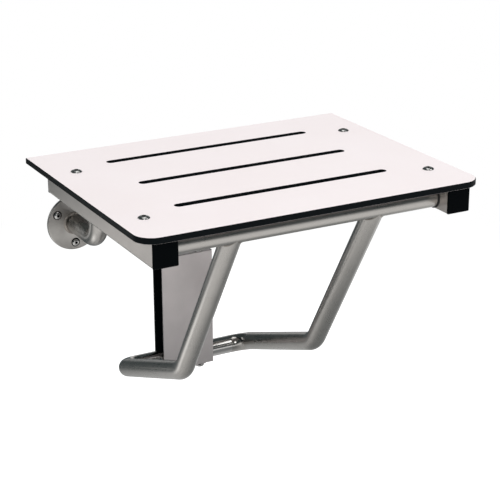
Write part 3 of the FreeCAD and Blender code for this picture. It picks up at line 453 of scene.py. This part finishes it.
def tube_finish(name, colour, roughness, polish_from_y=None):
    """Satin stainless tube: fine scratches run along it, over soft cloudy patches from hand rubbing.

    The scratches are drawn wider than real ones, to show. Nearer the wall than polish_from_y the finish
    runs over into a bright polish, rubbed by the guide.
    """
    material, tree = blank_material(name)
    straight = add(tree, "ShaderNodeAttribute", {"attribute_name": "straight"}).outputs["Vector"]
    stretched = add(tree, "ShaderNodeMapping", Vector=straight,
                    Scale=(1 / SCRATCH_WIDTH, 1 / SCRATCH_WIDTH, 1 / SCRATCH_RUN))
    scratch = add(tree, "ShaderNodeTexNoise", Vector=stretched.outputs[0], Scale=1.0, Detail=4.0)
    cloud = add(tree, "ShaderNodeTexNoise", Vector=straight, Scale=1 / HAND_CLOUD, Detail=3.0)
    rubbed = add(tree, "ShaderNodeMath", {"operation": "ADD"}, _0=scratch.outputs["Fac"], _1=cloud.outputs["Fac"])
    rough = add(tree, "ShaderNodeMapRange", Value=rubbed.outputs[0], From_Min=0.6, From_Max=1.4,
                To_Min=roughness - 0.03, To_Max=roughness + 0.04).outputs[0]
    dull = [c * DULL_SHARE for c in linear(colour)[:3]] + [1]
    tint = add(tree, "ShaderNodeMix", {"data_type": "RGBA"}, _0=cloud.outputs["Fac"], _6=dull,
               _7=linear(colour))
    bite = SCRATCH_BITE
    if polish_from_y is not None:
        place = add(tree, "ShaderNodeTexCoord").outputs["Object"]
        to_wall = add(tree, "ShaderNodeSeparateXYZ", Vector=place).outputs["Y"]
        polish = add(tree, "ShaderNodeMapRange", SMOOTH, Value=to_wall, From_Min=polish_from_y - POLISH_OVER,
                     From_Max=polish_from_y + POLISH_OVER)
        bright = add(tree, "ShaderNodeMapRange", Value=polish.outputs[0], To_Min=1.0,
                     To_Max=POLISHED_ROUGHNESS)
        rough = add(tree, "ShaderNodeMath", {"operation": "MULTIPLY"}, _0=rough, _1=bright.outputs[0]).outputs[0]
        bite = add(tree, "ShaderNodeMapRange", Value=polish.outputs[0], To_Min=SCRATCH_BITE,
                   To_Max=POLISHED_BITE).outputs[0]
    relief = add(tree, "ShaderNodeBump", Strength=bite, Distance=0.01 * MM, Height=scratch.outputs["Fac"])
    shader = add(tree, "ShaderNodeBsdfPrincipled", Base_Color=tint.outputs[2], Metallic=1.0, Roughness=rough,
                 Normal=relief.outputs[0])
    add(tree, "ShaderNodeOutputMaterial", Surface=shader.outputs[0])
    return material


STEEL = "A29F9B"
SATIN = 0.28
tube_steel = tube_finish("satin_tube", STEEL, SATIN)
CROSS_LOW, CROSS_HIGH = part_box("cross_tube")
CROSS_Y = (CROSS_LOW.y + CROSS_HIGH.y) / 2
PIVOT_Z = (CROSS_LOW.z + CROSS_HIGH.z) / 2
cross_tube = bent_tube("cross_tube_skin", [Vector((CROSS_LOW.x, CROSS_Y, PIVOT_Z)),
                                           Vector((CROSS_HIGH.x, CROSS_Y, PIVOT_Z))], [])
dress(cross_tube, "support_frame", tube_steel, "cross_tube")

# The legs.
# With the run along the wall they are one length of tube on the real seat: each leg falls from the cross
# tube to a knee, runs back to the wall and turns in towards the guide, polished where the guide rubs it.
LEG_X = 97.5 * MM
KNEE = Vector((LEG_X, -217.8 * MM, 4.7 * MM))
WALL_CORNER = Vector((LEG_X, -16.9 * MM, -71.7 * MM))
KNEE_BEND = 38 * MM
WALL_BEND = 26 * MM
POLISH_FROM_Y = -36 * MM
leg_steel = tube_finish("satin_tube_polished_end", STEEL, SATIN, POLISH_FROM_Y)
for side, name in ((-1, "left"), (1, "right")):
    mirror = Vector((side, 1, 1))
    top = Vector((LEG_X, CROSS_Y, PIVOT_Z))
    end = WALL_CORNER - Vector((WALL_BEND, 0, 0))
    points = [point * mirror for point in (top, KNEE, WALL_CORNER, end)]
    leg = bent_tube(f"{name}_leg_skin", points, [KNEE_BEND, WALL_BEND])
    dress(leg, "support_frame", leg_steel, f"{name}_leg")

# The welds at the tops of the legs.
# Each leg is notched to the cross tube and welded all round, and the bead is dressed to a hollow
# fillet: widest at the sides, where the tubes meet squarely, and gone at the front and back.
LEG_FILLET = 4.2 * MM
FILLET_FADE = 0.6
BEAD_STEPS = 32
FILLET_STEPS = 8
IN_THE_CORNER = 2
BEAD_RIPPLE = 1.4 * MM
HEAT_PATCH = 6.7 * MM
DULL_TINT = "6F6A66"
STRAW_TINT = "9A948C"


def weld_steel():
    """Welded stainless: dull grey to straw heat tints, with the fine ripples that the weld pool leaves."""
    material, tree = blank_material("heat_tinted_weld")
    bead = add(tree, "ShaderNodeAttribute", {"attribute_name": "bead"}).outputs["Fac"]
    phase = add(tree, "ShaderNodeMath", {"operation": "MULTIPLY"}, _0=bead, _1=2 * math.pi / BEAD_RIPPLE)
    ripple = add(tree, "ShaderNodeMath", {"operation": "SINE"}, _0=phase.outputs[0])
    place = add(tree, "ShaderNodeTexCoord").outputs["Object"]
    heat = add(tree, "ShaderNodeTexNoise", Vector=place, Scale=1 / HEAT_PATCH, Detail=2.0)
    tint = add(tree, "ShaderNodeMix", {"data_type": "RGBA"}, _0=heat.outputs["Fac"], _6=linear(DULL_TINT),
               _7=linear(STRAW_TINT))
    relief = add(tree, "ShaderNodeBump", Strength=0.5, Distance=0.12 * MM, Height=ripple.outputs[0])
    shader = add(tree, "ShaderNodeBsdfPrincipled", Base_Color=tint.outputs[2], Metallic=1.0, Roughness=0.34,
                 Normal=relief.outputs[0])
    add(tree, "ShaderNodeOutputMaterial", Surface=shader.outputs[0])
    return material


def lay_fillet(bm, fillet_point, start, end):
    """A hollow fillet: its section is drawn on from angle to angle along the corner that it fills.

    The section runs over the hollow from share 0 to 1, and closes through the point in the corner.
    """
    share_of = bm.verts.layers.float["share"]
    bead = bm.verts.layers.float["bead"]
    shares = [step / FILLET_STEPS for step in range(FILLET_STEPS + 1)] + [IN_THE_CORNER]
    row = []
    for share in shares:
        row.append(bm.verts.new(fillet_point(start, share)))
        row[-1][share_of] = share
    edges = [bm.edges.new((row[i - 1], row[i])) for i in range(len(row))]
    for step in range(1, BEAD_STEPS + 1):
        angle = start + (end - start) * step / BEAD_STEPS
        drawn = bmesh.ops.extrude_edge_only(bm, edges=edges)["geom"]
        edges = open_edges(drawn)
        for vert in only(bmesh.types.BMVert, drawn):
            vert.co = fillet_point(angle, vert[share_of])
            vert[bead] = TUBE_RADIUS * (angle - start)


def weld_mesh():
    """An empty mesh with the two values that a weld's vertices keep."""
    bm = bmesh.new()
    bm.verts.layers.float.new("share")
    bm.verts.layers.float.new("bead")
    return bm


def weld_piece(name, bm, body, node):
    """Closes the fillets of a weld and gives the piece its finish and its place."""
    bmesh.ops.remove_doubles(bm, verts=bm.verts, dist=0.02 * MM)
    bmesh.ops.recalc_face_normals(bm, faces=bm.faces)
    return dress(finished(name, bm, smooth_degrees=60), body, weld_finish, node)


weld_finish = weld_steel()
LEG_WAY = (KNEE - Vector((LEG_X, CROSS_Y, PIVOT_Z))).normalized()
SIDEWAYS = Vector((1, 0, 0))
ACROSS = LEG_WAY.cross(SIDEWAYS)


def leg_weld_point(leg_x):
    """Where the fillet of one leg lies, by its angle round the leg and its share across the corner."""
    def point(angle, share):
        side = math.cos(angle)
        corner = Vector((leg_x, CROSS_Y, PIVOT_Z)) + SIDEWAYS * TUBE_RADIUS * side
        corner += ACROSS * TUBE_RADIUS * math.sin(angle) + LEG_WAY * TUBE_RADIUS * abs(side)
        if share > 1:
            return corner
        reach = LEG_FILLET * abs(side) ** FILLET_FADE
        turn = share * math.pi / 2
        aside = SIDEWAYS * math.copysign(1 - math.cos(turn), side)
        return corner + (aside + LEG_WAY * (1 - math.sin(turn))) * reach
    return point


leg_weld = weld_mesh()
for side in (-1, 1):
    for start in (-math.pi / 2, math.pi / 2):
        lay_fillet(leg_weld, leg_weld_point(side * LEG_X), start, start + math.pi)
weld_piece("leg_weld_skin", leg_weld, "support_frame", "leg_welds")

# The wall run of the frame.
# The stretch of the bent tube that rides up and down inside the guide as the seat folds. It isn't satin
# like the rest: the liner has rubbed it bright.
RUB_MARKS = 8.3 * MM
RUB_ROUGHNESS = 0.08


def polished_steel(name, colour, roughness):
    """Polished stainless: nearly a mirror, clouded here and there by faint rubbing marks."""
    material, tree = blank_material(name)
    place = add(tree, "ShaderNodeTexCoord").outputs["Object"]
    rub = add(tree, "ShaderNodeTexNoise", Vector=place, Scale=1 / RUB_MARKS, Detail=3.0)
    rough = add(tree, "ShaderNodeMapRange", Value=rub.outputs["Fac"], To_Min=roughness,
                To_Max=roughness + RUB_ROUGHNESS)
    shader = add(tree, "ShaderNodeBsdfPrincipled", Base_Color=linear(colour), Metallic=1.0,
                 Roughness=rough.outputs[0])
    add(tree, "ShaderNodeOutputMaterial", Surface=shader.outputs[0])
    return material


bright_steel = polished_steel("bright_steel", "ADABA9", 0.12)
GUIDE_LOW, GUIDE_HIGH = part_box("guide_tube")
guide_y, guide_z = (GUIDE_LOW.y + GUIDE_HIGH.y) / 2, (GUIDE_LOW.z + GUIDE_HIGH.z) / 2
NEAR_LEG = 0.35 * MM
guide_tube = bent_tube("guide_tube_skin", [Vector((GUIDE_LOW.x - NEAR_LEG, guide_y, guide_z)),
                                           Vector((GUIDE_HIGH.x + NEAR_LEG, guide_y, guide_z))], [])
dress(guide_tube, "guide_slider", bright_steel, "guide_tube")

# The wall arms.
# Short bent tubes welded to the flanges: each comes out of the wall, turns up, and turns out into its
# rail, where its end is the hinge that the seat turns on.
FLANGE_X = 154.2 * MM
FLANGE_Z = 150.3 * MM
HINGE_Y = -90 * MM
ARM_BEND = 27 * MM
ARM_END_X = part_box("right_wall_arm")[1].x
arm_steel = tube_finish("satin_arm", STEEL, SATIN)
for side, name in ((-1, "left"), (1, "right")):
    mirror = Vector((side, 1, 1))
    path = ((FLANGE_X, 0, FLANGE_Z), (FLANGE_X, HINGE_Y, FLANGE_Z), (FLANGE_X, HINGE_Y, PIVOT_Z),
            (ARM_END_X, HINGE_Y, PIVOT_Z))
    arm = bent_tube(f"{name}_arm_skin", [Vector(point) * mirror for point in path], [ARM_BEND, ARM_BEND])
    dress(arm, "wall_fittings", arm_steel, f"{name}_wall_arm")

# The wall flanges and their welds.
# Discs pressed from 4.5 mm sheet, brushed across and clouded by handling. The arm's foot stands on the
# middle of each, with a hollow fillet weld all round it.
FLANGE_THICK = 4.5 * MM
ARM_FILLET = 3.4 * MM
flange_steel = satin_steel("flange_steel", "A8A5A1", 0.36, "X", streak_mm=0.5, dullest=0.72)
for node in ("left_wall_flange", "right_wall_flange"):
    paint(node, flange_steel)


def arm_weld_point(arm_x):
    """Where the fillet at an arm's foot lies, by its angle round the arm and its share of the corner."""
    def point(angle, share):
        outward = Vector((math.cos(angle), 0, math.sin(angle)))
        corner = Vector((arm_x, -FLANGE_THICK, FLANGE_Z)) + outward * TUBE_RADIUS
        if share > 1:
            return corner
        turn = share * math.pi / 2
        return corner + (outward * (1 - math.cos(turn)) + Vector((0, math.sin(turn) - 1, 0))) * ARM_FILLET
    return point


for side, name in ((-1, "left"), (1, "right")):
    arm_weld = weld_mesh()
    for quarter in range(4):
        start = quarter * math.pi / 2
        lay_fillet(arm_weld, arm_weld_point(side * FLANGE_X), start, start + math.pi / 2)
    weld_piece(f"{name}_arm_weld_skin", arm_weld, "wall_fittings", f"{name}_flange_weld")

# The guide on the wall.
# A stainless cover folded back at its top and bottom over the black nylon liner, on a back plate that is
# screwed to the wall, with a spring strip of the same steel that holds the frame when the seat is up.
cover_steel = satin_steel("cover_steel", "BAB4B3", 0.38, "Z", streak_mm=0.4, depth=0.12)
for node in ("guide_cover", "guide_back_plate", "retaining_spring"):
    paint(node, cover_steel)

# The screws.
# Turned and polished stainless screws with hexagon sockets: three round heads on each flange, two
# flat heads above and two below the guide, and four low domes let into the panel, 2.6 mm proud of it.
# Each socket is black inside, a painted shade of its recess, and each flange screw stands on a black ring,
# a painted shade of the gap round its head.
SCREW_SIDES = 48
SCREW_CIRCLE = 28 * MM
SCREW_DEGREES = (30, 150, 270)
WALL_SCREW_MM = ((2.75, -10), (2.75, 0), (2.85, 4.45), (6.1, 4.5), (6.1, 4.9), (5.2, 5.0), (5.15, 5.5),
                 (4.8, 6.3), (4.2, 6.9), (3.4, 7.3), (2.6, 7.5))
WALL_SOCKET_MM = (1.9, 1.8)
# Faces of the flange screws' profile drawn black: a ring of painted shade round the head's foot.
PAINTED_SHADE_RINGS = (3, 4, 5)
COVER_SCREW_X = 20 * MM
COVER_SCREW_Y = -25 * MM
COVER_TOP = 86.25 * MM
TAB_LOW = -87.75 * MM
COVER_SCREW_MM = ((1.9, -6), (1.9, 0), (6.2, 0.02), (6.5, 0.4), (6.5, 1.6), (6.2, 2.4), (5.4, 3.2), (4.2, 3.8),
                  (2.9, 4.1), (2.3, 4.2))
COVER_SOCKET_MM = (1.6, 1.5)
PANEL_SCREW_X = 195.5 * MM
PANEL_SCREW_YS = (-124.4 * MM, -327.3 * MM)
SINK_FLOOR = PANEL_HIGH.z - 2.8 * MM
PANEL_SHANK_MM = (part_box("panel_screws")[0].z - SINK_FLOOR) / MM
PANEL_DOME_MM = ((2.4, PANEL_SHANK_MM), (2.4, 0), (7.3, 0.02), (7.3, 2.8), (7.2, 3.2), (6.75, 3.85), (6.0, 4.5),
                 (5.0, 5.0), (4.0, 5.3), (3.0, 5.4))
PANEL_SOCKET_MM = (2.4, 1.8)
screw_steel = polished_steel("polished_screw", "A9A8A6", 0.2)
# Black for the insides of the sockets and the rings under the flange screws' heads: painted shade.
painted_shade_black = moulded_plastic("painted_shade_in_sockets_and_rings", "0A0A0B", 0.5)
for node in ("rail_inserts", "guide_wall_screws"):
    paint(node, screw_steel)


def next_ring(bm, edges, dark):
    """Draws a ring of edges on to a new ring, in steel or in the black of painted shade, and gives its vertices
    and edges.
    """
    drawn = bmesh.ops.extrude_edge_only(bm, edges=edges)["geom"]
    for face in only(bmesh.types.BMFace, drawn):
        face.material_index = int(dark)
    return only(bmesh.types.BMVert, drawn), open_edges(drawn)


def turned_screw(bm, foot, way, profile_mm, socket_mm, painted_shade_rings):
    """A screw turned from its profile, with a hexagon socket in its crown, stood on its foot.

    The profile gives radii and heights from the shank's end to the crown. The socket is given by half
    its width across flats and by its depth, and is black inside: painted shade of its recess. The painted shade
    rings are black faces between the profile's points, a ring of painted shade round the head's foot.
    """
    made = bmesh.ops.create_circle(bm, cap_ends=True, segments=SCREW_SIDES, radius=1.0)["verts"]
    edges = list({edge for vert in made for edge in vert.link_edges})
    radius, height = profile_mm[0]
    bmesh.ops.transform(bm, verts=made, matrix=Matrix.Translation((0, 0, height)) @ Matrix.Diagonal(
        (radius, radius, 1, 1)))
    for number, (next_radius, next_height) in enumerate(profile_mm[1:], 1):
        ring, edges = next_ring(bm, edges, number in painted_shade_rings)
        grown = next_radius / radius
        bmesh.ops.scale(bm, vec=(grown, grown, 1), verts=ring)
        bmesh.ops.translate(bm, vec=(0, 0, next_height - height), verts=ring)
        radius, height = next_radius, next_height
        made = made + ring
    half_width, depth = socket_mm
    for drop in (0, depth):
        ring, edges = next_ring(bm, edges, drop > 0)
        for vert in ring:
            angle = math.atan2(vert.co.y, vert.co.x)
            from_flat = (angle % (math.pi / 3)) - math.pi / 6
            reach = half_width / math.cos(from_flat)
            vert.co = Vector((reach * math.cos(angle), reach * math.sin(angle), height - drop))
        made = made + ring
    for face in bmesh.ops.contextual_create(bm, geom=edges)["faces"]:
        face.material_index = 1
    stand = Matrix.Translation(foot) @ way.to_track_quat("Z", "Y").to_matrix().to_4x4() @ Matrix.Scale(MM, 4)
    bmesh.ops.transform(bm, matrix=stand, verts=made)


def screw_set(node, name, body, stands, profile_mm, socket_mm, painted_shade_rings=()):
    """A set of like screws as one piece on one body, each with the place of its foot and its way up."""
    bm = bmesh.new()
    for foot, way in stands:
        turned_screw(bm, foot, way, profile_mm, socket_mm, painted_shade_rings)
    bmesh.ops.recalc_face_normals(bm, faces=bm.faces)
    piece = dress(finished(name, bm, smooth_degrees=35), body, screw_steel, node)
    piece.data.materials.append(painted_shade_black)


for side, name in ((-1, "left"), (1, "right")):
    stands = []
    for degrees in SCREW_DEGREES:
        angle = math.radians(degrees)
        foot = Vector((side * FLANGE_X + SCREW_CIRCLE * math.cos(angle), 0,
                       FLANGE_Z + SCREW_CIRCLE * math.sin(angle)))
        stands.append((foot, Vector((0, -1, 0))))
    screw_set(f"{name}_flange_screws", f"{name}_flange_screw_skins", "wall_fittings", stands, WALL_SCREW_MM,
              WALL_SOCKET_MM, PAINTED_SHADE_RINGS)
stands = [(Vector((x, COVER_SCREW_Y, z)), Vector((0, 0, math.copysign(1, z))))
          for x in (-COVER_SCREW_X, COVER_SCREW_X) for z in (COVER_TOP, TAB_LOW)]
screw_set("cover_screws", "cover_screw_skins", "wall_fittings", stands, COVER_SCREW_MM, COVER_SOCKET_MM)
stands = [(Vector((x, y, SINK_FLOOR)), Vector((0, 0, 1)))
          for x in (-PANEL_SCREW_X, PANEL_SCREW_X) for y in PANEL_SCREW_YS]
screw_set("panel_screws", "panel_screw_skins", "seat", stands, PANEL_DOME_MM, PANEL_SOCKET_MM)
